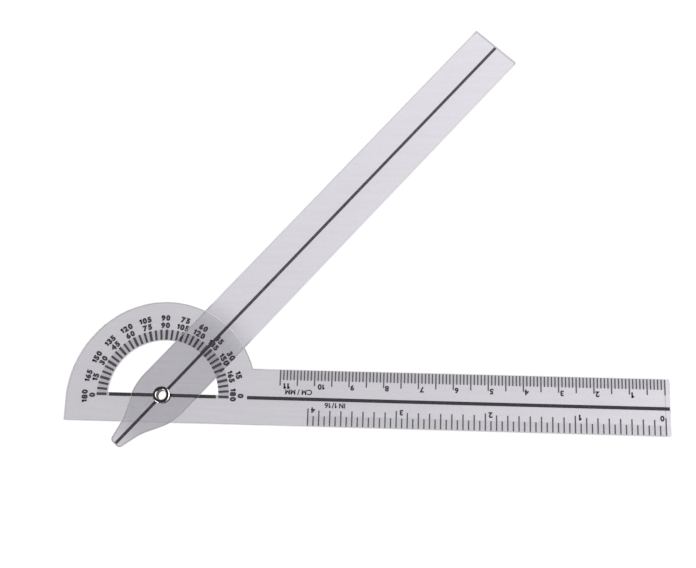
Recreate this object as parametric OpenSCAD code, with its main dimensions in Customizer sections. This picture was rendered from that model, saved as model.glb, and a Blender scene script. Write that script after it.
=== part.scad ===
// Angle finder: two flat clear arms that turn on one hollow eyelet.
// The fixed arm is a half-round head with a degree scale, and a ruler with centimetres on one
// edge and inches on the other. The moving arm's line is read against the degree scale.
// Origin: on the eyelet's axis, in the face of the fixed arm that carries the scales.
// +X runs along the base line to the ruler's free end, +Y to the degree scale, +Z up.

/* [Sheets] */
// Thickness of the clear sheet that each arm is cut from
sheet_t = 1.2; // [0.8:0.1:2]
// Gap between the two arms, which holds the ink of both
arm_gap = 0.2; // [0.16:0.02:0.4]

/* [Head] */
// Radius of the head's round edge
head_r = 27.85; // [26:0.05:34]
// How far the head's flat side stands out past that radius
side_out = 0.75; // [0.4:0.05:1.5]
// Width of the head's ring, from its round edge in to the half-round window
ring_w = 11.5; // [10:0.05:12]
// Radius of the tab in the window that carries the eyelet
tab_r = 7.5; // [5:0.1:8]

/* [Ruler] */
// From the base line to the centimetre edge
ruler_up = 8.6; // [8:0.05:10]
// From the base line to the inch edge
ruler_low = 7.85; // [7.5:0.05:10]
// From the pivot to the ruler's free end
ruler_reach = 145.7; // [90:0.1:220]
// From the free end back to the zero of both rulers
zero_inset = 1.5; // [1:0.1:4]

/* [Moving arm] */
// Width of the blade
blade_w = 16.3; // [12:0.1:18]
// From the pivot to the blade's far end
blade_reach = 146.4; // [60:0.1:220]
// From the pivot to the tip of the pointed tail
tail_reach = 19.15; // [15:0.05:25]
// Width across the tail's blunt tip
tip_w = 3.6; // [2.4:0.1:4.4]
// Angle between the two arms as drawn, in degrees
rest_angle = 48.83; // [0:0.01:180]

/* [Eyelet] */
// Diameter of the hole through the eyelet
hole_d = 2.8; // [2:0.1:3]
// Wall of the eyelet's barrel
barrel_wall = 0.3; // [0.2:0.05:0.5]
// Diameter of the eyelet's rounded head
head_d = 5.1; // [4.2:0.1:6]
// Diameter of the rim that is rolled over under the fixed arm
rolled_d = 4.6; // [4.2:0.1:6]

/* [Ink] */
// Thickness of the printed ink
ink_t = 0.05; // [0.02:0.01:0.06]
// Width of the fixed arm's base line
base_line_w = 1; // [0.4:0.05:1.2]
// Width of the moving arm's centre line
centre_line_w = 0.9; // [0.4:0.05:1.2]
// Width of a plain degree mark
degree_w = 0.65; // [0.2:0.05:0.9]
// Width of the degree mark at each figure
degree_bold_w = 0.8; // [0.3:0.05:1]
// Width of a centimetre-ruler mark
metric_w = 0.4; // [0.15:0.01:0.5]
// Width of an inch-ruler mark
inch_w = 0.4; // [0.15:0.01:0.5]

/* [Hidden] */
$fn = 96;

CLEAR = [0.8, 0.8, 0.83, 0.6];
INK = [0.26, 0.25, 0.27];
NICKEL = [0.78, 0.77, 0.74];

// One overrun for all cuts
cut_over = 0.5;

// Head: its round edge leans in a little towards the ruler
head_lean = 0.45;
// A fuller curve joins the round edge to the flat side
side_x = head_r + side_out;
fuller_shift = 0.9;
fuller_drop = 1.5;
fuller_turn = 42;
window_r = head_r - ring_w;
window_margin = 0.05;
window_floor = base_line_w / 2 + window_margin;

// Corners of both arms' free ends
end_corner_r = 0.5;

// Moving arm: where its sides turn in, where its tail narrows, and how each turn is rounded
arm_z = arm_gap;
shoulder_x = 3.2;
shoulder_r = 16;
neck_x = 12.1;
neck_w = 7;
neck_r = 15;
tip_corner_r = 1.2;
arc_steps = 10;

// Eyelet: fits, and its two rounded beads
running_clearance = 0.05;
seat_clearance = 0.02;
bore_r = hole_d / 2;
barrel_r = bore_r + barrel_wall;
head_z = arm_z + sheet_t + running_clearance;
head_bead_r = (head_d - hole_d) / 4;
rolled_bead_r = (rolled_d - hole_d) / 4;
bead_fn = 48;

// Ink stops short of the eyelet's barrel, hidden under its head
line_break_r = barrel_r + (head_d / 2 - barrel_r) / 2;
// Ink stops this far inside an arm's edge
edge_margin = 0.3;

// Degree scale: one mark every 5 degrees over a half turn, a bold one every 15
scale_turn = 180;
degree_step = 5;
bold_every = 3;
degree_margin = 0.05;
degree_len = 3;
degree_in = window_r + degree_margin;
// The base line has a gap where the degree scale's figures cross it
line_gap = 0.65;
line_in = window_r - line_gap;
figure_room = 5.35;
line_out = degree_in + degree_len + figure_room;

// Rulers: both read from the zero near the free end back towards the head
zero_x = ruler_reach - zero_inset;
head_room = 4;
ruler_room = zero_x - head_r - head_room;
metric_pitch = 1;
metric_parts = 10;
metric_mid = 5;
centimetres = floor(ruler_room / (metric_parts * metric_pitch));
metric_len = 2.95;
metric_long_len = 4.5;
inch_pitch = 25.4;
inch_parts = 16;
inches = floor(ruler_room / inch_pitch);
inch_len = 2.75;
inch_mid_len = 4.4;
inch_long_len = 4.9;
zero_line_w = 0.12;

// A bar from x0 to x1 and from y0 to y1, with round corners of radius r at x1
module bar(x0, x1, y0, y1, r) {
    translate([x0, y0])
        square([x1 - r - x0, y1 - y0]);
    translate([x0, y0 + r])
        square([x1 - x0, y1 - y0 - 2 * r]);
    for (y = [y0 + r, y1 - r])
        translate([x1 - r, y])
            circle(r = r);
}

// The points of an arc of radius r that rounds the corner b of the path a, b, c
function unit(v) = v / norm(v);
function round_corner(a, b, c, r) =
    let (
        u = unit(a - b),
        w = unit(c - b),
        half = acos(u * w) / 2,
        centre = b + unit(u + w) * r / sin(half),
        first = unit(b + u * r / tan(half) - centre),
        last = unit(b + w * r / tan(half) - centre),
        turn = 180 - 2 * half
    )
    [
        for (i = [0 : arc_steps])
            let (t = i / arc_steps)
            centre + r * (sin((1 - t) * turn) * first + sin(t * turn) * last) / sin(turn)
    ];

// The head above the base line, clipped at its flat side
module head_outline() {
    intersection() {
        union() {
            intersection() {
                circle(r = head_r);
                translate([-head_lean, 0])
                    circle(r = head_r);
            }
            intersection() {
                translate([fuller_shift, -fuller_drop])
                    circle(r = side_x + fuller_shift);
                translate([-side_x, 0])
                    square([side_x - head_r * cos(fuller_turn), head_r]);
            }
        }
        translate([-side_x, 0])
            square([side_x + head_r, head_r]);
    }
}

// The window leaves a round tab for the eyelet and a straight floor above the base line
module window_outline() {
    difference() {
        intersection() {
            circle(r = window_r);
            translate([-window_r, window_floor])
                square([2 * window_r, window_r]);
        }
        circle(r = tab_r);
    }
}

module fixed_arm() {
    color(CLEAR)
        difference() {
            translate([0, 0, -sheet_t])
                linear_extrude(sheet_t)
                    difference() {
                        union() {
                            head_outline();
                            translate([-side_x, -ruler_low])
                                square([side_x, ruler_low]);
                            bar(0, ruler_reach, -ruler_low, ruler_up, end_corner_r);
                        }
                        window_outline();
                    }
            translate([0, 0, -sheet_t - cut_over])
                cylinder(r = barrel_r + seat_clearance, h = sheet_t + 2 * cut_over);
        }
}

// One side of the moving arm's outline, from its far end to the tip of its tail
far_corner = [blade_reach, blade_w / 2];
shoulder = [-shoulder_x, blade_w / 2];
neck = [-neck_x, neck_w / 2];
tip = [-tail_reach, tip_w / 2];
arm_side = concat(
    round_corner([blade_reach, 0], far_corner, shoulder, end_corner_r),
    round_corner(far_corner, shoulder, neck, shoulder_r),
    round_corner(shoulder, neck, tip, neck_r),
    round_corner(neck, tip, [-tail_reach, 0], tip_corner_r)
);
arm_other_side = [for (i = [len(arm_side) - 1 : -1 : 0]) [arm_side[i].x, -arm_side[i].y]];

// Turns a piece of the moving arm to the angle as drawn
module at_rest() {
    rotate(rest_angle)
        children();
}

module moving_arm() {
    color(CLEAR)
        at_rest()
            difference() {
                translate([0, 0, arm_z])
                    linear_extrude(sheet_t)
                        polygon(concat(arm_side, arm_other_side));
                translate([0, 0, arm_z - cut_over])
                    cylinder(r = barrel_r + running_clearance, h = sheet_t + 2 * cut_over);
            }
}

// A hollow rivet: a barrel, a rounded head above the arms and a rolled rim below them
module eyelet() {
    color(NICKEL)
        rotate_extrude() {
            translate([bore_r, -sheet_t])
                square([barrel_wall, head_z + sheet_t]);
            intersection() {
                translate([bore_r + head_bead_r, head_z])
                    circle(r = head_bead_r, $fn = bead_fn);
                translate([bore_r, head_z])
                    square([2 * head_bead_r, head_bead_r]);
            }
            intersection() {
                translate([bore_r + rolled_bead_r, -sheet_t])
                    circle(r = rolled_bead_r, $fn = bead_fn);
                translate([bore_r, -sheet_t - rolled_bead_r])
                    square([2 * rolled_bead_r, rolled_bead_r]);
            }
        }
}

// A straight mark from x0 to x1 and from y0 to y1 on the fixed arm's face
module mark(x0, x1, y0, y1) {
    translate([x0, y0, 0])
        cube([x1 - x0, y1 - y0, ink_t]);
}

module eyelet_break(z) {
    translate([0, 0, z - cut_over])
        cylinder(r = line_break_r, h = ink_t + 2 * cut_over);
}

module base_line() {
    color(INK) {
        difference() {
            mark(-line_in, line_in, -base_line_w / 2, base_line_w / 2);
            eyelet_break(0);
        }
        mark(line_out, ruler_reach - edge_margin, -base_line_w / 2, base_line_w / 2);
    }
}

module degree_marks() {
    color(INK)
        for (i = [0 : scale_turn / degree_step]) {
            w = i % bold_every == 0 ? degree_bold_w : degree_w;
            rotate(i * degree_step)
                mark(degree_in, degree_in + degree_len, -w / 2, w / 2);
        }
}

module metric_marks() {
    color(INK)
        for (i = [0 : centimetres * metric_parts]) {
            x = zero_x - i * metric_pitch;
            y1 = ruler_up - edge_margin;
            mark_len = i % metric_mid == 0 ? metric_long_len : metric_len;
            mark(x - metric_w / 2, x + metric_w / 2, y1 - mark_len, y1);
        }
}

function inch_mark_len(i) =
    i % inch_parts == 0 ? inch_long_len : i % 2 == 0 ? inch_mid_len : inch_len;

module inch_marks() {
    color(INK)
        for (i = [0 : inches * inch_parts]) {
            x = zero_x - i * inch_pitch / inch_parts;
            y0 = edge_margin - ruler_low;
            mark(x - inch_w / 2, x + inch_w / 2, y0, y0 + inch_mark_len(i));
        }
}

// Joins the two rulers' zero marks to the base line
module zero_line() {
    x0 = zero_x - zero_line_w / 2;
    x1 = zero_x + zero_line_w / 2;
    color(INK) {
        mark(x0, x1, base_line_w / 2, ruler_up - edge_margin - metric_long_len);
        mark(x0, x1, edge_margin - ruler_low + inch_long_len, -base_line_w / 2);
    }
}

// Printed on the moving arm's underside, next to the scale that it is read against
module centre_line() {
    color(INK)
        at_rest()
            difference() {
                translate([0, 0, arm_z - ink_t])
                    mark(
                        edge_margin - tail_reach,
                        blade_reach - edge_margin,
                        -centre_line_w / 2,
                        centre_line_w / 2
                    );
                eyelet_break(arm_z - ink_t);
            }
}

fixed_arm();
moving_arm();
eyelet();
base_line();
degree_marks();
metric_marks();
inch_marks();
zero_line();
centre_line();
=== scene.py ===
import math

import bmesh
import bpy
from bpy.props import FloatProperty, FloatVectorProperty, IntProperty, PointerProperty, StringProperty
from mathutils import Matrix, Vector


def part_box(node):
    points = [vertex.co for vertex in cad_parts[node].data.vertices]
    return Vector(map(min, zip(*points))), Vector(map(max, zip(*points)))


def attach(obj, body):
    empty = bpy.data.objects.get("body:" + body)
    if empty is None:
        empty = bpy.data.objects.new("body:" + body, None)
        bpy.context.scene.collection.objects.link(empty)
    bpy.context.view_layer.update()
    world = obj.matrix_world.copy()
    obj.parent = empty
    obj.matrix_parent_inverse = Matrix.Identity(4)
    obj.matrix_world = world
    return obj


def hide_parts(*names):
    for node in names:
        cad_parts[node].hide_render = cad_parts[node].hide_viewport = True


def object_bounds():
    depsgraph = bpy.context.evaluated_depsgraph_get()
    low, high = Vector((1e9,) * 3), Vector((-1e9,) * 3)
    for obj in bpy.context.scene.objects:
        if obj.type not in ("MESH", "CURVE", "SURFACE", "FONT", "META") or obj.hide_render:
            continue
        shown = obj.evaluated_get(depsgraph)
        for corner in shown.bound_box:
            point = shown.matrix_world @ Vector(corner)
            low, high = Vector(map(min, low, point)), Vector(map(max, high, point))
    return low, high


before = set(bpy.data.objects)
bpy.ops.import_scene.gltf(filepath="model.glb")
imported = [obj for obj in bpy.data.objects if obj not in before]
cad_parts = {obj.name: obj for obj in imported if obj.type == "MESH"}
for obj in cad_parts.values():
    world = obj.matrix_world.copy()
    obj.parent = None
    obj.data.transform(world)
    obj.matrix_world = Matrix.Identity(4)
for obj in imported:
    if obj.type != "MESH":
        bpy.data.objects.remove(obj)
CAD_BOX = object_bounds()

bl_info = {
    "name": "Angle Finder",
    "version": (1, 0, 0),
    "blender": (4, 5, 0),
    "location": "View3D > Sidebar > Angle Finder",
    "description": "Clear sheets, printed figures and studio of an angle finder with two arms",
    "category": "Object",
}

MM = 0.001
WHITE = (1.0, 1.0, 1.0, 1.0)
FLAT = 0.995
UPRIGHT = 0.5
# Where the tints of the two sheets change, as shares of the head's radius: the darker tint at the head and
# hub is painted shade
HEAD_TINT_SHARES = (0.55, 0.8)
BLADE_TINT_SHARES = (0.575, 1.04)
# How the ruler's tint, with its painted shade, runs from the head to its end: 1 is an even change
RULER_TINT_CURVE = 1.4
# Where the rims' painted shade turns lighter, as shares of the head's radius and of the arm's reach
RIM_HEAD_SHARES = (1.04, 1.12)
RIM_END_SHARES = (0.985, 0.995)
# How level a rim's facet lies where the fine painted dark line next to the flat faces starts and is full
LINE_LEVEL = (0.86, 0.96)
# How squarely a rim faces the painted highlight's direction where it starts and is full
SHINE_FACING = (0.1, 0.3)
# Reach of the window's clear finish past its radius
WINDOW_SHARE = 1.004
# Colour of a thin film of the greyer inks as a multiple of the full film's
THIN_INK = 1.5
# Faces that light has passed, and mirrorings, past which it meets a sheet as a plain film
UNDER_OTHER = 1.5
CAUGHT = 2.5
# Largest gap that closes between the strokes of a figure, in millimetres
SEAM = 0.0005
# Where the bright window and the glint start and are full, as shares of their reach
BEAM_SHARES = (1.2, 0.8)
# Width of a plain stroke in the font's own scale
STROKE = 0.09
# Strokes of the characters made of straight lines: start and end, in the font's own scale
RULED = {
    "1": (((0.0, 0.0), (0.0, 0.7)), ((-0.2, 0.46), (0.0, 0.62))),
    "I": (((0.0, 0.0), (0.0, 0.7)),),
    "M": (((0.0, 0.0), (0.0, 0.7)), ((0.0, 0.65), (0.24, 0.15)),
          ((0.24, 0.15), (0.48, 0.65)), ((0.48, 0.7), (0.48, 0.0))),
    "N": (((0.0, 0.0), (0.0, 0.7)), ((0.0, 0.66), (0.44, 0.04)), ((0.44, 0.0), (0.44, 0.7))),
}


# Kinds of settings


def length_setting(name, description, millimetres, **limits):
    """A length, given in millimetres."""
    return FloatProperty(name=name, description=description, default=millimetres * MM, unit="LENGTH",
                         **limits)


def angle_setting(name, description, degrees):
    """An angle, given in degrees."""
    return FloatProperty(name=name, description=description, default=math.radians(degrees),
                         unit="ROTATION")


def number_setting(name, description, default, lowest, highest):
    """A plain number between two limits."""
    return FloatProperty(name=name, description=description, default=default, min=lowest, max=highest)


def levels_setting(name, description, default, lowest=0, **kind):
    """Three numbers up to 1."""
    return FloatVectorProperty(name=name, description=description, default=default, size=3, min=lowest,
                               max=1, **kind)


def colour_setting(name, description, default):
    """A colour."""
    return levels_setting(name, description, default, subtype="COLOR")


def way_setting(name, description, default):
    """A direction."""
    return levels_setting(name, description, default, -1, subtype="DIRECTION")


# Sizes, colours and places that a user would change


class SheetSettings(bpy.types.PropertyGroup):
    """Shape and tint of the two clear sheets."""

    eased_edge: length_setting(
        "Eased edge", "Width of the rounded rim of each sheet", 0.34, min=0.02 * MM, max=0.4 * MM)
    rim_steps: IntProperty(
        name="Rim steps", description="Facets across the rounded rim", default=4, min=1, max=6)
    skin: length_setting(
        "Skin", "Air between a sheet's face and the ink on it", 0.008, min=0.001 * MM, max=0.02 * MM)
    window_radius: length_setting("Window radius", "Radius of the half-round window in the head", 16.35)
    bore_radius: length_setting(
        "Bore radius", "Largest radius at which a wall belongs to the eyelet's bore", 2.5)
    merge: length_setting("Merge", "Corners closer than this become one", 0.002)
    bend_index: number_setting(
        "Index of refraction", "How much the clear plastic bends light", 1.49, 1.0, 2.0)
    rim_index: number_setting(
        "Rim's index of refraction", "How much the rounded rims bend light", 1.12, 1.0, 2.0)
    # The darker head and hub tints and the lighter ends are painted shade on the plastic's own grey
    fixed_dark_side: length_setting(
        "Dark side of the head", "Where the fixed arm's tint starts, along X", -28.6)
    fixed_head: colour_setting(
        "Head tint", "Light that the fixed arm passes at the head's flat side", (0.570, 0.560, 0.589))
    fixed_near: colour_setting(
        "Ruler tint", "Light that the fixed arm passes past the head", (0.588, 0.578, 0.609))
    fixed_far: colour_setting(
        "Ruler end tint", "Light that the fixed arm passes at its free end", (0.741, 0.728, 0.766))
    moving_dark_spot: length_setting(
        "Dark spot of the blade", "Where the moving arm's tint starts, along the blade", 6)
    moving_hub: colour_setting(
        "Hub tint", "Light that the moving arm passes over the head", (0.455, 0.444, 0.478))
    moving_near: colour_setting(
        "Blade tint", "Light that the moving arm passes past the head", (0.668, 0.655, 0.692))
    moving_far: colour_setting(
        "Blade end tint", "Light that the moving arm passes at its free end", (0.776, 0.761, 0.803))
    # Rim and edge-line levels are painted shade, darkest at the head
    fixed_rim: levels_setting(
        "Fixed arm's rim", "Light through the rim at the head, past it and at the end", (0.72, 0.80, 0.85))
    fixed_line: levels_setting(
        "Fixed arm's edge line", "Light just inside the rim, at the same three places", (0.26, 0.38, 0.60))
    moving_rim: levels_setting(
        "Moving arm's rim", "Light through the rim at the head, past it and at the end",
        (0.42, 0.72, 0.70))
    moving_line: levels_setting(
        "Moving arm's edge line", "Light just inside the rim, at the same three places",
        (0.28, 0.50, 0.20))
    wall_pass: number_setting("Window wall", "Light that the walls of the head's window pass", 0.96, 0, 1)
    # Rim shine is a painted highlight and rim shade a painted shade, on rims seen under the other sheet
    rim_shine: number_setting(
        "Rim shine", "Light that the outer rim lets through as seen under the other sheet", 1.10, 0, 1.5)
    rim_shade: number_setting(
        "Rim shade", "Light that the rest of the rim lets through under the other sheet", 0.90, 0, 1)
    shine_way: way_setting(
        "Shine", "Direction that a rim faces where it shines under the other sheet", (0.77, 0.64, 0.0))
    # The shade among the marks is painted shadow and painted reflection of the print
    degree_shade: number_setting(
        "Shade among degree marks", "Light left where the print's shadow falls", 0.77, 0, 1)
    metric_shade: number_setting(
        "Shade among centimetre marks", "Light left where the print's shadow falls", 0.84, 0, 1)
    inch_shade: number_setting(
        "Shade among inch marks", "Light left where the print's shadow falls", 0.90, 0, 1)
    short_share: number_setting(
        "Short marks' share", "Length of a ruler's short marks as a share of its longest", 0.6, 0, 1)
    shade_softness: length_setting(
        "Shade softness", "Width over which the shade among the marks fades out", 0.5)
    shade_tint: colour_setting(
        "Shade tint", "Light that a face lets through onto what lies below the other sheet",
        (0.965, 0.964, 0.968))


class PrintSettings(bpy.types.PropertyGroup):
    """Height and place of the printed figures, and the ink."""

    degree_height: length_setting(
        "Degree figure height", "Height of the figures on the degree scale", 1.82)
    degree_first_row: length_setting(
        "First row", "From the degree marks' outer ends to the inner row's middle", 1.25)
    degree_row_pitch: length_setting("Row pitch", "From the inner row of figures to the outer row", 2.22)
    degree_step: IntProperty(
        name="Figure step", description="Degrees from one figure to the next", default=15)
    degree_lead: angle_setting("Figure lead", "Turn of every degree figure ahead of its mark", 0.6)
    digit_lead: angle_setting("Digit lead", "Further turn ahead for each digit of a degree figure", 0.45)
    rule_height: length_setting("Ruler figure height", "Height of the figures on both rulers", 1.68)
    metric_drop: length_setting(
        "Centimetre drop", "From the long marks' ends to the figures' middle", 0.15)
    metric_side: length_setting(
        "Centimetre side step", "From a mark to the middle of its single figure", 0.95)
    metric_wide_side: length_setting(
        "Wide figure side step", "From a mark to the middle of its two figures", 2.0)
    metric_pitch: length_setting("Centimetre pitch", "From one centimetre figure to the next", 10)
    metric_figures: IntProperty(
        name="Centimetre figures", description="The highest centimetre figure", default=11)
    inch_drop: length_setting("Inch drop", "From the long marks' ends to the figures' middle", 0.47)
    inch_side: length_setting("Inch side step", "From a mark to the middle of its figure", 1.45)
    inch_zero_side: length_setting(
        "Inch zero side step", "From the zero line to the middle of its figure", 1.0)
    inch_zero_drop: length_setting(
        "Inch zero drop", "From the long marks' ends to the middle of the zero", 0.12)
    inch_pitch: length_setting("Inch pitch", "From one inch figure to the next", 25.4)
    inch_figures: IntProperty(
        name="Inch figures", description="The highest inch figure", default=4)
    metric_unit: StringProperty(
        name="Centimetre unit mark", description="Plain unit mark of the centimetre ruler",
        default="CM / MM")
    inch_unit: StringProperty(
        name="Inch unit mark", description="Plain unit mark of the inch ruler", default="IN 1/16")
    unit_height: length_setting("Unit mark height", "Height of the two unit marks", 1.6)
    metric_unit_rise: length_setting(
        "Centimetre unit rise", "From the base line's edge to its unit mark", 0.68)
    inch_unit_rise: length_setting(
        "Inch unit rise", "From the base line's edge to the inch unit mark", 0.35)
    metric_unit_from_zero: length_setting(
        "Centimetre unit place", "From the zero line back to its unit mark's middle", 104.5)
    inch_unit_from_zero: length_setting(
        "Inch unit place", "From the zero line back to its unit mark's middle", 93.9)
    degree_boldness: number_setting(
        "Degree boldness", "Stroke added to each degree figure, as a share of its size", 0.074, 0, 0.08)
    rule_boldness: number_setting(
        "Ruler boldness", "Stroke added to each ruler figure, as a share of its size", 0.05, 0, 0.08)
    unit_boldness: number_setting(
        "Unit boldness", "Stroke added to the unit marks, as a share of their size", 0.032, 0, 0.08)
    widening: number_setting(
        "Widening", "Width of each figure as a share of the font's own", 1.06, 0.5, 1.5)
    letter_gap: number_setting(
        "Letter gap", "Gap between two figures, as a share of the font's size", 0.07, 0, 0.3)
    word_gap: number_setting("Word gap", "Width of a blank, as a share of the font's size", 0.16, 0, 1)
    curve_steps: IntProperty(
        name="Curve steps", description="Facets on each curve of a figure", default=4, min=1, max=12)
    ink_colour: colour_setting("Ink", "Colour of the printed ink", (0.040, 0.037, 0.044))
    thin_ink_colour: colour_setting(
        "Thin ink", "Colour of the ink where the film is thin", (0.075, 0.070, 0.080))
    mark_ink_colour: colour_setting(
        "Mark ink", "Colour of the ink of the rulers' marks", (0.105, 0.100, 0.110))
    degree_ink_colour: colour_setting(
        "Degree ink", "Colour of the ink of the degree marks", (0.065, 0.061, 0.070))
    faded_ink_colour: colour_setting(
        "Faded ink", "Colour of the fine line at the rulers' zero", (0.34, 0.33, 0.35))


class EyeletSettings(bpy.types.PropertyGroup):
    """Finish of the hollow eyelet."""

    nickel_colour: colour_setting("Nickel", "Colour of the plated eyelet", (0.70, 0.69, 0.66))
    dull_colour: colour_setting(
        "Dull nickel", "Colour of the plating where it is tarnished", (0.36, 0.35, 0.31))


class StageSettings(bpy.types.PropertyGroup):
    """Camera, floor and light."""

    camera_place: FloatVectorProperty(
        name="Camera place", description="Where the camera stands",
        default=(0.068344, -0.032620, 0.294355), size=3, subtype="TRANSLATION", unit="LENGTH")
    camera_turn: FloatVectorProperty(
        name="Camera turn", description="How the camera is turned about X, Y and Z",
        default=(math.radians(12.89086), math.radians(2.57738), math.radians(1.83470)),
        size=3, subtype="EULER", unit="ROTATION")
    camera_lens: number_setting(
        "Focal length", "Focal length of the lens in millimetres", 52.9225, 10, 200)
    floor_side: length_setting("Floor side", "Length of each side of the floor", 3000)
    floor_colour: colour_setting("Floor", "Colour of the floor", (0.90, 0.90, 0.90))
    floor_glow: number_setting("Floor glow", "Share of the floor that shows as plain white", 0.92, 0, 1)
    glow_strength: number_setting("Glow strength", "Brightness of that plain white", 1.04, 0, 2)
    floor_mirrored: number_setting(
        "Mirrored floor", "Brightness of the floor as metal mirrors it", 0.16, 0, 1)
    sky_light: number_setting("Dome light", "Strength of the even light from all round", 0.72, 0, 2)
    sky_mirrored: number_setting(
        "Mirrored dome", "Brightness of the dome as metal mirrors it", 0.035, 0, 1)
    window_way: way_setting(
        "Bright window", "Direction of the bright window that metal mirrors", (0.99, 0.09, 0.10))
    window_reach: angle_setting("Window reach", "Half the angle that the bright window fills", 48)
    window_flatness: number_setting(
        "Window flatness", "Width of the bright window as a multiple of its height", 2.4, 1, 10)
    window_strength: number_setting(
        "Window strength", "Brightness of the bright window above the floor", 4.0, 0, 10)
    glint_way: way_setting(
        "Glint", "Direction of the small bright spot that metal mirrors", (-0.655, -0.738, 0.12))
    glint_reach: angle_setting("Glint reach", "Half the angle that the small bright spot fills", 16)
    lamp_strength: number_setting("Lamp strength", "Strength of the soft lamp", 1.1, 0, 10)
    lamp_spread: angle_setting("Lamp spread", "How wide the soft lamp looks from the object", 40)
    lamp_turn: angle_setting("Lamp turn", "Direction of the lamp, counted from +X", 25)
    lamp_rise: angle_setting("Lamp rise", "Height of the lamp above the floor, as an angle", 42)


# Small helpers for objects


def only(piece):
    """Selects one object alone and makes it the active one."""
    bpy.ops.object.select_all(action="DESELECT")
    piece.select_set(True)
    bpy.context.view_layer.objects.active = piece


def join(pieces):
    """Joins several mesh objects into the first."""
    bpy.ops.object.select_all(action="DESELECT")
    for piece in pieces:
        piece.select_set(True)
    bpy.context.view_layer.objects.active = pieces[0]
    bpy.ops.object.join()
    return bpy.context.object


def settle(piece, body, slot, *nodes):
    """Hangs a finished piece on its body and hides the nodes that it stands for."""
    if nodes:
        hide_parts(*nodes)
    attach(piece, body)


def corners(mesh):
    """Lowest and highest corner of a mesh."""
    places = [v.co for v in mesh.vertices]
    return Vector(map(min, zip(*places))), Vector(map(max, zip(*places)))


# Small helpers for shader trees


def add(tree, kind, **settings):
    """Adds a node to a shader tree, right of those that it has, and sets it up."""
    node = tree.nodes.new(kind)
    node.location = (220 * len(tree.nodes), 0)
    for name, value in settings.items():
        setattr(node, name, value)
    return node


def feed(tree, target, value):
    """Links an output to an input, or writes a plain value into it."""
    if isinstance(value, bpy.types.NodeSocket):
        tree.links.new(value, target)
    else:
        target.default_value = value


def fill(tree, node, values, places=range(3)):
    """Feeds inputs by their places."""
    for place, value in zip(places, values):
        feed(tree, node.inputs[place], value)
    return node.outputs


def fill_named(tree, node, values):
    """Feeds inputs by their names, where an underscore stands for a blank."""
    for name, value in values.items():
        feed(tree, node.inputs[name.replace("_", " ")], value)
    return node.outputs


def filled(tree, kind, **values):
    """Adds a node with its inputs set by name."""
    return fill_named(tree, add(tree, kind), values)


def maths(tree, operation, *values):
    """A Math node on outputs or plain numbers."""
    return fill(tree, add(tree, "ShaderNodeMath", operation=operation), values)[0]


def vectors(tree, operation, *values):
    """A Vector Math node on outputs or plain triples: its Vector and its Value."""
    return fill(tree, add(tree, "ShaderNodeVectorMath", operation=operation), values)


def ramp(tree, value, start, end, low=0.0, high=1.0, kind="SMOOTHSTEP"):
    """A value that goes from low to high as another goes from start to end."""
    node = add(tree, "ShaderNodeMapRange", interpolation_type=kind)
    values = {"Value": value, "From Min": start, "From Max": end, "To Min": low, "To Max": high}
    return fill_named(tree, node, values)["Result"]


def mix(tree, factor, first, second, blend="MIX"):
    """A Mix node on two colours."""
    node = add(tree, "ShaderNodeMix", data_type="RGBA", blend_type=blend)
    return fill(tree, node, (factor, first, second), (0, 6, 7))[2]


def choose(tree, factor, first, second):
    """A Mix node on two numbers."""
    node = add(tree, "ShaderNodeMix", data_type="FLOAT")
    return fill(tree, node, (factor, first, second), (0, 2, 3))[0]


def mix_shaders(tree, factor, first, second):
    """A Mix Shader node."""
    return fill(tree, add(tree, "ShaderNodeMixShader"), (factor, first, second))[0]


def noise(tree, position, scale, detail=2.0, roughness=0.5):
    """A Noise Texture's value at a position in metres."""
    return filled(tree, "ShaderNodeTexNoise", Vector=position, Scale=scale, Detail=detail,
                  Roughness=roughness)["Fac"]


def stretched(tree, position, scale, rotation=(0.0, 0.0, 0.0)):
    """A position scaled and turned by a Mapping node."""
    return filled(tree, "ShaderNodeMapping", Vector=position, Scale=scale, Rotation=rotation)["Vector"]


def relief(tree, height, distance, strength=1.0):
    """A Bump node's normal."""
    return filled(tree, "ShaderNodeBump", Height=height, Distance=distance, Strength=strength)["Normal"]


def scaled(tree, value, factor):
    """A colour or place times a number."""
    node = add(tree, "ShaderNodeVectorMath", operation="SCALE")
    return fill(tree, node, (value, factor), (0, "Scale"))[0]


def flat_distance(tree, place, centre=(0.0, 0.0, 0.0)):
    """Distance between two places as seen from above."""
    away = vectors(tree, "SUBTRACT", place, centre)[0]
    level = vectors(tree, "MULTIPLY", away, (1.0, 1.0, 0.0))[0]
    return vectors(tree, "LENGTH", level)["Value"]


def part_of(tree, vector, axis):
    """One number of a vector: 0 for X, 1 for Y, 2 for Z."""
    return fill(tree, add(tree, "ShaderNodeSeparateXYZ"), (vector,))[axis]


def colour(value):
    """A colour property as a socket takes it."""
    return (*value, 1.0)


def new_material(name):
    """An empty material, its tree and its output node."""
    material = bpy.data.materials.new(name)
    material.use_nodes = True
    material.node_tree.nodes.clear()
    return material, material.node_tree, add(material.node_tree, "ShaderNodeOutputMaterial")


def new_group(name, inputs, outputs):
    """An empty shader node group with named sockets, its input node and its output node."""
    group = bpy.data.node_groups.new(name, "ShaderNodeTree")
    for in_out, sockets in (("INPUT", inputs), ("OUTPUT", outputs)):
        for socket, kind in sockets:
            group.interface.new_socket(socket, in_out=in_out, socket_type=kind)
    return group, add(group, "NodeGroupInput").outputs, add(group, "NodeGroupOutput").inputs


def use_group(tree, group, **values):
    """Places a node group in a tree, with its inputs set by name."""
    node = add(tree, "ShaderNodeGroup", node_tree=bpy.data.node_groups[group])
    return fill_named(tree, node, values)


# Effects that several materials use


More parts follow.
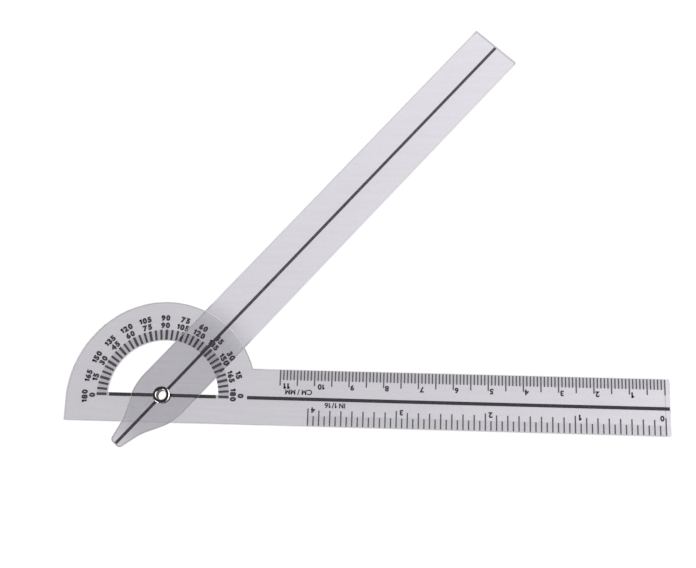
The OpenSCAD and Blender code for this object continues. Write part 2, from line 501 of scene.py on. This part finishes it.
def make_tint_group():
    """Tint of a clear sheet, from its darkest place past the head to its free end, a little cloudy; the
    darkening towards the head is painted shade.
    """
    group, given, result = new_group(
        "Sheet Tint",
        [("Position", "NodeSocketVector"), ("Centre", "NodeSocketVector"), ("Hub", "NodeSocketColor"),
         ("Near", "NodeSocketColor"), ("Far", "NodeSocketColor"), ("Hub Edge", "NodeSocketFloat"),
         ("Near Edge", "NodeSocketFloat"), ("Reach", "NodeSocketFloat"), ("Curve", "NodeSocketFloat"),
         ("Grain Turn", "NodeSocketVector")],
        [("Tint", "NodeSocketColor")])
    distance = flat_distance(group, given["Position"], given["Centre"])
    # Painted shade: darkest at the hub, lighter past the head and towards the free end
    past_hub = ramp(group, distance, given["Hub Edge"], given["Near Edge"])
    to_end = ramp(group, distance, given["Near Edge"], given["Reach"], kind="LINEAR")
    blade = mix(group, maths(group, "POWER", to_end, given["Curve"]), given["Near"], given["Far"])
    plain = mix(group, past_hub, given["Hub"], blade)
    clouds = ramp(group, noise(group, given["Position"], 70.0), 0.3, 0.7, kind="LINEAR")
    drifted = mix(group, maths(group, "MULTIPLY", clouds, 0.55), plain, (1.0, 0.985, 1.02, 1.0),
                  "MULTIPLY")
    along = stretched(group, given["Position"], (60.0, 900.0, 60.0), given["Grain Turn"])
    streaks = noise(group, along, 1.0, 3.0, 0.6)
    specks = noise(group, given["Position"], 1500.0, 2.0, 0.7)
    grain = maths(group, "ADD", ramp(group, streaks, 0.25, 0.75, 0.965, 1.02, "LINEAR"),
                  ramp(group, specks, 0.2, 0.8, -0.02, 0.02, "LINEAR"))
    feed(group, result["Tint"], scaled(group, drifted, grain))


def make_scuff_group():
    """Roughness and relief of handled plastic: a soft ripple, hairline scratches and dust-fine pits."""
    group, given, result = new_group(
        "Handled Plastic",
        [("Position", "NodeSocketVector"), ("Clean", "NodeSocketFloat"), ("Worn", "NodeSocketFloat")],
        [("Roughness", "NodeSocketFloat"), ("Normal", "NodeSocketVector")])
    ripple = noise(group, given["Position"], 220.0, 2.0)
    along = stretched(group, given["Position"], (90.0, 4200.0, 90.0), (0.0, 0.0, 0.35))
    across = stretched(group, given["Position"], (3600.0, 110.0, 90.0), (0.0, 0.0, -0.5))
    scratches = maths(group, "MAXIMUM", ramp(group, noise(group, along, 1.0), 0.68, 0.76),
                      ramp(group, noise(group, across, 1.0), 0.70, 0.78))
    patches = ramp(group, noise(group, given["Position"], 95.0, 3.0), 0.45, 0.7)
    worn = maths(group, "MULTIPLY", scratches, patches)
    spread = maths(group, "MULTIPLY_ADD", patches, 0.35, maths(group, "MULTIPLY", worn, 0.65))
    feed(group, result["Roughness"], choose(group, spread, given["Clean"], given["Worn"]))
    height = maths(group, "MULTIPLY_ADD", worn, -0.12, ripple)
    feed(group, result["Normal"], relief(group, height, 0.006 * MM, 0.6))


# Materials


def clear_plastic(name, tint, rough, index, shade):
    """Clear plastic that bends light.

    It is a plain film for lamps, under the other sheet and for light that is caught inside it.
    """
    material, tree, output = new_material(name)
    path = add(tree, "ShaderNodeLightPath").outputs
    where = add(tree, "ShaderNodeTexCoord").outputs["Object"]
    scuff = use_group(tree, "Handled Plastic", Position=where, Clean=rough[0], Worn=rough[1])
    glass = filled(tree, "ShaderNodeBsdfPrincipled", Base_Color=tint(tree, where),
                   Roughness=scuff["Roughness"], IOR=index, Transmission_Weight=1.0,
                   Normal=scuff["Normal"])
    film = filled(tree, "ShaderNodeBsdfTransparent", Color=shade(tree, where))
    lamp_ray = maths(tree, "MAXIMUM", path["Is Shadow Ray"], path["Is Diffuse Ray"])
    under_other = maths(tree, "GREATER_THAN", path["Transmission Depth"], UNDER_OTHER)
    caught = maths(tree, "GREATER_THAN", path["Glossy Depth"], CAUGHT)
    plain = maths(tree, "MAXIMUM", lamp_ray, maths(tree, "MAXIMUM", under_other, caught))
    feed(tree, output.inputs["Surface"], mix_shaders(tree, plain, glass[0], film[0]))
    return material


def in_window(tree, where, window_radius):
    """1 inside the head's half-round window, on the tab in it and on its walls."""
    inside = maths(tree, "LESS_THAN", flat_distance(tree, where), window_radius * WINDOW_SHARE)
    above = maths(tree, "GREATER_THAN", part_of(tree, where, 1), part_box("base_line")[1].y)
    return maths(tree, "MULTIPLY", inside, above)


def within(tree, value, low, high, softness):
    """1 between two values, fading out over a soft border."""
    above = ramp(tree, value, low - softness / 2, low + softness / 2)
    below = ramp(tree, value, high + softness / 2, high - softness / 2)
    return maths(tree, "MULTIPLY", above, below)


def among_marks(tree, where):
    """Light left among the printed marks: painted shadow and painted reflection of the print in the
    sheet's colour.
    """
    sheets = bpy.context.scene.angle_finder_sheets
    softness = sheets.shade_softness
    across = part_of(tree, where, 1)
    scale = within(tree, flat_distance(tree, where), 0.0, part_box("degree_marks")[1].x, softness)
    bands = [(maths(tree, "MULTIPLY", scale, ramp(tree, across, -softness, 0.0)), sheets.degree_shade)]
    for node, side, shade in (("metric_marks", 1, sheets.metric_shade),
                              ("inch_marks", 0, sheets.inch_shade)):
        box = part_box(node)
        edge, inner = box[side].y, box[1 - side].y
        reach = edge + (inner - edge) * sheets.short_share
        along = within(tree, part_of(tree, where, 0), box[0].x, box[1].x, softness)
        band = within(tree, across, min(edge, reach), max(edge, reach), softness)
        bands.append((maths(tree, "MULTIPLY", along, band), shade))
    left = 1.0
    for mask, shade in bands:
        left = maths(tree, "MULTIPLY", left, choose(tree, mask, 1.0, shade))
    return left


def face_material(name, hub, near, far, tint_start, hub_edge, near_edge, reach, curve, turn,
                  window_radius, printed):
    """The flat faces of one clear sheet."""
    sheets = bpy.context.scene.angle_finder_sheets

    def tint(tree, where):
        plain = use_group(
            tree, "Sheet Tint", Position=where, Centre=tint_start, Hub=colour(hub), Near=colour(near),
            Far=colour(far), Hub_Edge=hub_edge, Near_Edge=near_edge, Reach=reach, Curve=curve,
            Grain_Turn=(0.0, 0.0, turn))["Tint"]
        # Painted shadow of the print darkens the tint among the marks
        return scaled(tree, plain, among_marks(tree, where)) if printed else plain

    def shade(tree, where):
        # The film under the other sheet carries the same painted shadow
        left = among_marks(tree, where) if printed else 1.0
        film = scaled(tree, sheets.shade_tint, maths(tree, "SQRT", left))
        return mix(tree, in_window(tree, where, window_radius), film, WHITE)

    return clear_plastic(name, tint, (0.02, 0.09), sheets.bend_index, shade)


def edge_material(name, rim, line, reach, window_radius):
    """The rounded rims and cut walls of one sheet, with painted shade: a fine darker line next to its
    faces and rims darker at the head.
    """
    sheets = bpy.context.scene.angle_finder_sheets
    head_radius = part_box("fixed_arm")[1].y

    def by_place(tree, radius, levels):
        past_head = ramp(tree, radius, *(head_radius * share for share in RIM_HEAD_SHARES), *levels[:2])
        at_end = ramp(tree, radius, *(reach * share for share in RIM_END_SHARES))
        return choose(tree, at_end, past_head, levels[2])

    def inner_side(tree):
        facing = part_of(tree, add(tree, "ShaderNodeNewGeometry").outputs["True Normal"], 2)
        return ramp(tree, maths(tree, "ABSOLUTE", facing), *LINE_LEVEL)

    def tint(tree, where):
        radius = flat_distance(tree, where)
        # Painted shade: a fine dark line on the facets next to the faces, darker rims at the head
        level = choose(tree, inner_side(tree), by_place(tree, radius, rim), by_place(tree, radius, line))
        level = choose(tree, in_window(tree, where, window_radius), level, sheets.wall_pass)
        uneven = ramp(tree, noise(tree, where, 260.0, 3.0), 0.3, 0.7, 0.94, 1.03, "LINEAR")
        return scaled(tree, (0.998, 0.985, 1.03), maths(tree, "MULTIPLY", level, uneven))

    def shade(tree, where):
        lamp_ray = add(tree, "ShaderNodeLightPath").outputs["Is Shadow Ray"]
        # Painted highlight where the rim faces the shine, painted shade elsewhere, under the other sheet
        side = add(tree, "ShaderNodeNewGeometry").outputs
        facing = vectors(tree, "DOT_PRODUCT", side["True Normal"], sheets.shine_way)["Value"]
        outward = maths(tree, "MULTIPLY", facing, choose(tree, side["Backfacing"], 1.0, -1.0))
        shine = ramp(tree, outward, *SHINE_FACING, sheets.rim_shade, sheets.rim_shine)
        level = choose(tree, inner_side(tree), shine, sheets.rim_shade)
        clear = maths(tree, "MAXIMUM", lamp_ray, in_window(tree, where, window_radius))
        return scaled(tree, (1.0, 1.0, 1.0), choose(tree, clear, level, 1.0))

    return clear_plastic(name, tint, (0.06, 0.18), sheets.rim_index, shade)


def ink_material(name, thick, thin_film):
    """Screen-printed ink: a little uneven and faintly glossy."""
    found = bpy.data.materials.get(name)
    if found:
        return found
    material, tree, output = new_material(name)
    where = add(tree, "ShaderNodeTexCoord").outputs["Object"]
    film = noise(tree, where, 900.0, 4.0, 0.65)
    grain = noise(tree, where, 5200.0, 2.0, 0.6)
    thin = maths(tree, "MULTIPLY", ramp(tree, film, 0.35, 0.8), 0.8)
    ink = filled(tree, "ShaderNodeBsdfPrincipled",
                 Base_Color=mix(tree, thin, colour(thick), colour(thin_film)),
                 Roughness=ramp(tree, grain, 0.2, 0.8, 0.42, 0.66, "LINEAR"),
                 Normal=relief(tree, maths(tree, "ADD", film, grain), 0.01 * MM, 0.5))
    feed(tree, output.inputs["Surface"], ink[0])
    return material


def full_ink():
    """The nearly black ink of lines and figures."""
    prints = bpy.context.scene.angle_finder_prints
    return ink_material("printed_ink", prints.ink_colour, prints.thin_ink_colour)


def lighter_ink(name, shown):
    """A greyer ink, for marks that are printed thinly."""
    return ink_material(name, shown, [part * THIN_INK for part in shown])


def nickel_material():
    """Bright nickel plate with fine tool rings, small dents and a little tarnish in scattered patches."""
    eyelet = bpy.context.scene.angle_finder_eyelet
    material, tree, output = new_material("nickel_plate")
    where = add(tree, "ShaderNodeTexCoord").outputs["Object"]
    dents = noise(tree, where, 620.0, 2.0)
    rings = noise(tree, stretched(tree, where, (300.0, 300.0, 9000.0)), 1.0, 2.0)
    tarnish = ramp(tree, noise(tree, where, 1100.0, 4.0, 0.65), 0.48, 0.72)
    plate = mix(tree, maths(tree, "MULTIPLY", tarnish, 0.5), colour(eyelet.nickel_colour),
                colour(eyelet.dull_colour))
    height = maths(tree, "MULTIPLY_ADD", rings, 0.15, dents)
    metal = filled(tree, "ShaderNodeBsdfPrincipled", Base_Color=plate, Metallic=1.0,
                   Roughness=choose(tree, tarnish, 0.12, 0.30),
                   Normal=relief(tree, height, 0.06 * MM, 0.5))
    feed(tree, output.inputs["Surface"], metal[0])
    return material


# Clear sheets


def is_inner(place, sheets, window_radius):
    """True for a place on the bore or on the head's window."""
    radius = math.hypot(place.x, place.y)
    return radius < sheets.bore_radius or (place.y > 0 and radius < window_radius + sheets.merge)


def ease_rims(piece, sheets, window_radius):
    """Rounds the rims between a sheet's flat faces and its outer walls."""
    bm = bmesh.from_edit_mesh(piece.data)
    bm.select_mode = {"EDGE"}
    for edge in bm.edges:
        heights = sorted(abs(face.normal.z) for face in edge.link_faces)
        middle = (edge.verts[0].co + edge.verts[1].co) / 2
        on_rim = len(heights) == 2 and heights[0] < UPRIGHT and heights[1] > FLAT
        edge.select = on_rim and not is_inner(middle, sheets, window_radius)
    bm.select_flush_mode()
    bmesh.update_edit_mesh(piece.data)
    bpy.ops.mesh.bevel(offset=sheets.eased_edge, offset_type="OFFSET", segments=sheets.rim_steps,
                       profile=0.5, affect="EDGES")


def thin_by_skin(piece, sheets):
    """Draws both flat faces in by the skin, so that the ink lies on them and not in them."""
    for side in (1, -1):
        bpy.ops.mesh.select_all(action="DESELECT")
        bm = bmesh.from_edit_mesh(piece.data)
        for face in bm.faces:
            face.select = face.normal.z * side > FLAT
        bmesh.update_edit_mesh(piece.data)
        bpy.ops.transform.translate(value=(0.0, 0.0, -side * sheets.skin))


def clear_sheet(node, name, faces, edges, window_radius):
    """A sheet made from its node's outline, with eased rims and a finish for faces and edges."""
    sheets = bpy.context.scene.angle_finder_sheets
    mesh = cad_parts[node].data.copy()
    mesh.name = name
    mesh.materials.clear()
    piece = bpy.data.objects.new(name, mesh)
    bpy.context.scene.collection.objects.link(piece)
    only(piece)
    if mesh.has_custom_normals:
        bpy.ops.mesh.customdata_custom_splitnormals_clear()
    bpy.ops.object.mode_set(mode="EDIT")
    bpy.ops.mesh.select_all(action="SELECT")
    bpy.ops.mesh.remove_doubles(threshold=sheets.merge)
    bpy.ops.mesh.dissolve_limited(angle_limit=math.radians(0.5))
    ease_rims(piece, sheets, window_radius)
    thin_by_skin(piece, sheets)
    bpy.ops.object.mode_set(mode="OBJECT")
    mesh.materials.append(faces)
    mesh.materials.append(edges)
    for face in mesh.polygons:
        face.material_index = 1 if abs(face.normal.z) < FLAT else 0
    bpy.ops.object.shade_smooth_by_angle(angle=math.radians(6))
    return piece


class ANGLEFINDER_OT_fixed_sheet(bpy.types.Operator):
    """Make the fixed arm's clear sheet: the half-round head and the ruler"""

    bl_idname = "angle_finder.fixed_sheet"
    bl_label = "Fixed Sheet"

    def execute(self, context):
        sheets = context.scene.angle_finder_sheets
        head_radius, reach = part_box("fixed_arm")[1].y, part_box("fixed_arm")[1].x
        start = sheets.fixed_dark_side
        faces = face_material(
            "fixed_clear_sheet", sheets.fixed_head, sheets.fixed_near, sheets.fixed_far,
            (start, 0.0, 0.0), head_radius * HEAD_TINT_SHARES[0],
            head_radius * HEAD_TINT_SHARES[1] - start, reach - start, RULER_TINT_CURVE, 0.0,
            sheets.window_radius, True)
        edges = edge_material("fixed_edge", sheets.fixed_rim, sheets.fixed_line, reach,
                              sheets.window_radius)
        piece = clear_sheet("fixed_arm", "fixed_sheet", faces, edges, sheets.window_radius)
        settle(piece, "ruler", "fixed_sheet", "fixed_arm")
        return {"FINISHED"}


class ANGLEFINDER_OT_moving_sheet(bpy.types.Operator):
    """Make the moving arm's clear sheet: the blade and its pointed tail"""

    bl_idname = "angle_finder.moving_sheet"
    bl_label = "Moving Sheet"

    def execute(self, context):
        sheets = context.scene.angle_finder_sheets
        head_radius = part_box("fixed_arm")[1].y
        far_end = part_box("centre_line")[1].xy
        along = far_end.normalized()
        start = along * sheets.moving_dark_spot
        faces = face_material(
            "moving_clear_sheet", sheets.moving_hub, sheets.moving_near, sheets.moving_far,
            (*start, 0.0), *(head_radius * share for share in BLADE_TINT_SHARES),
            far_end.length - sheets.moving_dark_spot, 1.0, -math.atan2(along.y, along.x), 0.0, False)
        edges = edge_material("moving_edge", sheets.moving_rim, sheets.moving_line, far_end.length, 0.0)
        piece = clear_sheet("moving_arm", "moving_sheet", faces, edges, 0.0)
        settle(piece, "pointer", "moving_sheet", "moving_arm")
        return {"FINISHED"}


# Printed lines and figures


class ANGLEFINDER_OT_printed_lines(bpy.types.Operator):
    """Ink the lines and marks that are printed on the two facing sides of the sheets"""

    bl_idname = "angle_finder.printed_lines"
    bl_label = "Printed Lines"

    def execute(self, context):
        prints = context.scene.angle_finder_prints
        inks = dict.fromkeys(("base_line", "centre_line"), full_ink())
        inks["degree_marks"] = lighter_ink("degree_ink", prints.degree_ink_colour)
        inks["metric_marks"] = inks["inch_marks"] = lighter_ink("mark_ink", prints.mark_ink_colour)
        inks["zero_line"] = lighter_ink("faded_ink", prints.faded_ink_colour)
        for name, ink in inks.items():
            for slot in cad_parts[name].material_slots:
                slot.material = ink
        return {"FINISHED"}


def ruled_glyph(strokes, size):
    """A character made of straight slabs in the font's own scale."""
    width = STROKE + 2 * size
    slabs = []
    for start, end in strokes:
        way = Vector(end) - Vector(start)
        bpy.ops.mesh.primitive_cube_add(size=1.0)
        slab = bpy.context.object
        slab.data.transform(
            Matrix.Translation((*(Vector(start) + way / 2), 0.0))
            @ Matrix.Rotation(math.atan2(way.y, way.x), 4, "Z")
            @ Matrix.Diagonal((way.length, width, 1.0, 1.0)))
        slabs.append(slab)
    return join(slabs)


def glyph(character, size):
    """One character as an upright slab in the font's own scale."""
    if character in RULED:
        return ruled_glyph(RULED[character], size)
    bpy.ops.object.text_add(location=(0.0, 0.0, 0.0))
    made = bpy.context.object
    made.data.body = character
    made.data.offset = size
    made.data.resolution_u = bpy.context.scene.angle_finder_prints.curve_steps
    made.data.extrude = 0.5
    bpy.ops.object.convert(target="MESH")
    return made


def printed_figure(text, height, middle, turn, size, prints):
    """One figure or word of a given height, centred on a place on the print and turned about Z."""
    cursor = 0.0
    row = []
    for character in text:
        if character == " ":
            cursor += prints.word_gap
            continue
        bpy.ops.object.select_all(action="DESELECT")
        made = glyph(character, size)
        lowest, highest = corners(made.data)
        made.data.transform(Matrix.Translation((cursor - lowest.x, 0.0, 0.0)))
        cursor += highest.x - lowest.x + prints.letter_gap
        row.append(made)
    figure = join(row)
    lowest, highest = corners(figure.data)
    upright = height / (highest.y - lowest.y)
    across = upright * prints.widening
    ink_bottom, ink_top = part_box("base_line")[0].z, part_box("base_line")[1].z
    upward = (ink_top - ink_bottom) / (highest.z - lowest.z)
    place = Vector((middle[0], middle[1], (ink_top + ink_bottom) / 2))
    figure.data.transform(
        Matrix.Translation(place)
        @ Matrix.Rotation(turn, 4, "Z")
        @ Matrix.Diagonal((across, upright, upward, 1.0))
        @ Matrix.Translation(-(lowest + highest) / 2))
    return figure


def ink_figures(figures, name):
    """Joins printed figures into one piece, closes their seams and inks them."""
    piece = join(figures)
    piece.name = name
    piece.data.name = name
    bpy.ops.object.mode_set(mode="EDIT")
    bpy.ops.mesh.select_all(action="SELECT")
    bpy.ops.mesh.remove_doubles(threshold=SEAM * MM)
    bpy.ops.mesh.normals_make_consistent(inside=False)
    bpy.ops.object.mode_set(mode="OBJECT")
    piece.data.materials.clear()
    piece.data.materials.append(full_ink())
    settle(piece, "ruler", "ink")


class ANGLEFINDER_OT_degree_figures(bpy.types.Operator):
    """Print both rows of figures round the degree scale, one row for each way of reading"""

    bl_idname = "angle_finder.degree_figures"
    bl_label = "Degree Figures"

    def execute(self, context):
        prints = context.scene.angle_finder_prints
        inner_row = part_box("degree_marks")[1].x + prints.degree_first_row
        half_turn = 180
        figures = []
        for angle in range(0, half_turn + 1, prints.degree_step):
            for row, value in enumerate((half_turn - angle, angle)):
                text = str(value)
                way = math.radians(angle) + prints.degree_lead + prints.digit_lead * len(text)
                radius = inner_row + row * prints.degree_row_pitch
                middle = (radius * math.cos(way), radius * math.sin(way))
                figures.append(printed_figure(text, prints.degree_height, middle, way - math.pi / 2,
                                              prints.degree_boldness, prints))
        ink_figures(figures, "degree_figures")
        return {"FINISHED"}


class ANGLEFINDER_OT_ruler_figures(bpy.types.Operator):
    """Print the figures and unit marks of the centimetre and the inch ruler"""

    bl_idname = "angle_finder.ruler_figures"
    bl_label = "Ruler Figures"

    def execute(self, context):
        prints = context.scene.angle_finder_prints
        zero_low, zero_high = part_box("zero_line")
        zero = (zero_low.x + zero_high.x) / 2
        metric_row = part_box("metric_marks")[0].y - prints.metric_drop
        inch_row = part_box("inch_marks")[1].y - prints.inch_drop
        line_low, line_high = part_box("base_line")

        def stamp(text, height, x, y, size=prints.rule_boldness):
            return printed_figure(text, height, (x, y), math.pi, size, prints)

        metric = []
        for count in range(1, prints.metric_figures + 1):
            side = prints.metric_side if count < 10 else prints.metric_wide_side
            metric.append(stamp(str(count), prints.rule_height,
                                zero - count * prints.metric_pitch + side, metric_row))
        ink_figures(metric, "centimetre_figures")
        inch = [stamp("0", prints.rule_height, zero - prints.inch_zero_side,
                      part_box("inch_marks")[1].y - prints.inch_zero_drop)]
        for count in range(1, prints.inch_figures + 1):
            inch.append(stamp(str(count), prints.rule_height,
                              zero - count * prints.inch_pitch + prints.inch_side, inch_row))
        ink_figures(inch, "inch_figures")
        half_height = prints.unit_height / 2
        units = [stamp(prints.metric_unit, prints.unit_height, zero - prints.metric_unit_from_zero,
                       line_high.y + prints.metric_unit_rise + half_height, prints.unit_boldness),
                 stamp(prints.inch_unit, prints.unit_height, zero - prints.inch_unit_from_zero,
                       line_low.y - prints.inch_unit_rise - half_height, prints.unit_boldness)]
        ink_figures(units, "unit_marks")
        return {"FINISHED"}


# Eyelet


class ANGLEFINDER_OT_eyelet(bpy.types.Operator):
    """Plate the hollow eyelet that both arms turn on"""

    bl_idname = "angle_finder.eyelet"
    bl_label = "Eyelet"

    def execute(self, context):
        nickel = nickel_material()
        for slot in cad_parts["eyelet"].material_slots:
            slot.material = nickel
        return {"FINISHED"}


# Camera, floor and light


def white_rays(tree):
    """1 for the rays that show the background as white, and 1 for those that show it as metal does.

    Rays from the camera and rays that have been in a clear sheet show it as white.
    """
    path = add(tree, "ShaderNodeLightPath").outputs
    seen = maths(tree, "MAXIMUM", path["Is Camera Ray"], path["Is Transmission Ray"])
    been_in = maths(tree, "GREATER_THAN", path["Transmission Depth"], 0.5)
    return maths(tree, "MAXIMUM", seen, been_in), path["Is Glossy Ray"]


def beam(tree, way, towards, reach, flatness=1.0):
    """1 for directions within a reach of another, fading out over a few degrees."""
    squeezed = vectors(tree, "MULTIPLY", way, (1.0, 1.0, flatness))[0]
    unit = vectors(tree, "NORMALIZE", squeezed)[0]
    along = vectors(tree, "DOT_PRODUCT", unit, Vector(towards).normalized())["Value"]
    return ramp(tree, along, *(math.cos(reach * share) for share in BEAM_SHARES))


def bright_ways(tree, way, stage, flatness):
    """1 for the directions of the bright window and of the small glint."""
    return maths(tree, "MAXIMUM", beam(tree, way, stage.window_way, stage.window_reach, flatness),
                 beam(tree, way, stage.glint_way, stage.glint_reach))


def floor_material(stage):
    """A matt white floor that shows as the white background and keeps the object's shadow."""
    material, tree, output = new_material("floor_paper")
    material.cycles.emission_sampling = "NONE"
    seen, mirrored = white_rays(tree)
    where = add(tree, "ShaderNodeTexCoord").outputs["Object"]
    fibre = ramp(tree, noise(tree, where, 900.0, 3.0), 0.3, 0.7, 0.985, 1.0, "LINEAR")
    matt = filled(tree, "ShaderNodeBsdfDiffuse", Color=scaled(tree, stage.floor_colour, fibre))[0]
    bright = bright_ways(tree, where, stage, 1.0)
    as_metal = choose(tree, bright, stage.floor_mirrored, 1.0)
    glow = filled(tree, "ShaderNodeEmission", Color=WHITE,
                  Strength=choose(tree, seen, as_metal, stage.glow_strength))[0]
    share = maths(tree, "MULTIPLY", maths(tree, "MAXIMUM", seen, mirrored), stage.floor_glow)
    lit = mix_shaders(tree, share, matt, glow)
    from_below = add(tree, "ShaderNodeNewGeometry").outputs["Backfacing"]
    see_up = add(tree, "ShaderNodeBsdfTransparent").outputs[0]
    feed(tree, output.inputs["Surface"], mix_shaders(tree, from_below, lit, see_up))
    return material


def make_world(stage):
    """An even dome: white where it is seen, softer as light, and dark with one window for metal."""
    world = bpy.data.worlds.new("dome")
    world.use_nodes = True
    tree = world.node_tree
    tree.nodes.clear()
    seen, mirrored = white_rays(tree)
    way = add(tree, "ShaderNodeTexCoord").outputs["Generated"]
    bright = bright_ways(tree, way, stage, stage.window_flatness)
    studio = choose(tree, bright, stage.sky_mirrored, stage.window_strength)
    level = choose(tree, mirrored, stage.sky_light, studio)
    sky = filled(tree, "ShaderNodeBackground", Color=WHITE, Strength=choose(tree, seen, level, 1.0))
    filled(tree, "ShaderNodeOutputWorld", Surface=sky[0])
    bpy.context.scene.world = world


class ANGLEFINDER_OT_stage(bpy.types.Operator):
    """Set up the camera, the white floor, the dome and the soft lamp"""

    bl_idname = "angle_finder.stage"
    bl_label = "Stage"

    def execute(self, context):
        stage = context.scene.angle_finder_stage
        bpy.ops.object.select_all(action="DESELECT")
        bpy.ops.object.camera_add(location=stage.camera_place, rotation=stage.camera_turn)
        camera = context.object
        camera.name = "camera"
        camera.data.sensor_width = 36.0
        camera.data.lens = stage.camera_lens
        camera.data.clip_start = 0.01
        context.scene.camera = camera

        bpy.ops.mesh.primitive_plane_add(size=stage.floor_side, location=(0.0, 0.0, CAD_BOX[0].z))
        floor = context.object
        floor.name = "floor"
        floor.data.materials.append(floor_material(stage))

        bpy.ops.object.light_add(type="SUN", location=(0.0, 0.0, 1.0),
                                 rotation=(0.0, math.pi / 2 - stage.lamp_rise, stage.lamp_turn))
        lamp = context.object
        lamp.name = "soft_lamp"
        lamp.data.energy = stage.lamp_strength
        lamp.data.angle = stage.lamp_spread
        lamp.visible_glossy = False
        make_world(stage)
        context.scene.view_settings.view_transform = "Standard"
        return {"FINISHED"}


# Panel and registration


class ANGLEFINDER_PT_parts(bpy.types.Panel):
    """Lists the pieces of the angle finder"""

    bl_idname = "ANGLEFINDER_PT_parts"
    bl_label = "Angle Finder"
    bl_space_type = "VIEW_3D"
    bl_region_type = "UI"
    bl_category = "Angle Finder"

    def draw(self, context):
        for operator in OPERATORS:
            self.layout.operator(operator.bl_idname)


OPERATORS = (
    ANGLEFINDER_OT_stage,
    ANGLEFINDER_OT_fixed_sheet,
    ANGLEFINDER_OT_moving_sheet,
    ANGLEFINDER_OT_printed_lines,
    ANGLEFINDER_OT_degree_figures,
    ANGLEFINDER_OT_ruler_figures,
    ANGLEFINDER_OT_eyelet,
)
SETTINGS = {
    "angle_finder_sheets": SheetSettings,
    "angle_finder_prints": PrintSettings,
    "angle_finder_eyelet": EyeletSettings,
    "angle_finder_stage": StageSettings,
}
CLASSES = (*SETTINGS.values(), *OPERATORS, ANGLEFINDER_PT_parts)


def register():
    for made in CLASSES:
        bpy.utils.register_class(made)
    for name, settings in SETTINGS.items():
        setattr(bpy.types.Scene, name, PointerProperty(type=settings))


def unregister():
    for name in SETTINGS:
        delattr(bpy.types.Scene, name)
    for made in reversed(CLASSES):
        bpy.utils.unregister_class(made)


def main():
    """Makes the stage and every piece."""
    register()
    bpy.ops.angle_finder.stage()
    make_tint_group()
    make_scuff_group()
    bpy.ops.angle_finder.fixed_sheet()
    bpy.ops.angle_finder.moving_sheet()
    bpy.ops.angle_finder.printed_lines()
    bpy.ops.angle_finder.degree_figures()
    bpy.ops.angle_finder.ruler_figures()
    bpy.ops.angle_finder.eyelet()


if __name__ == "__main__":
    main()
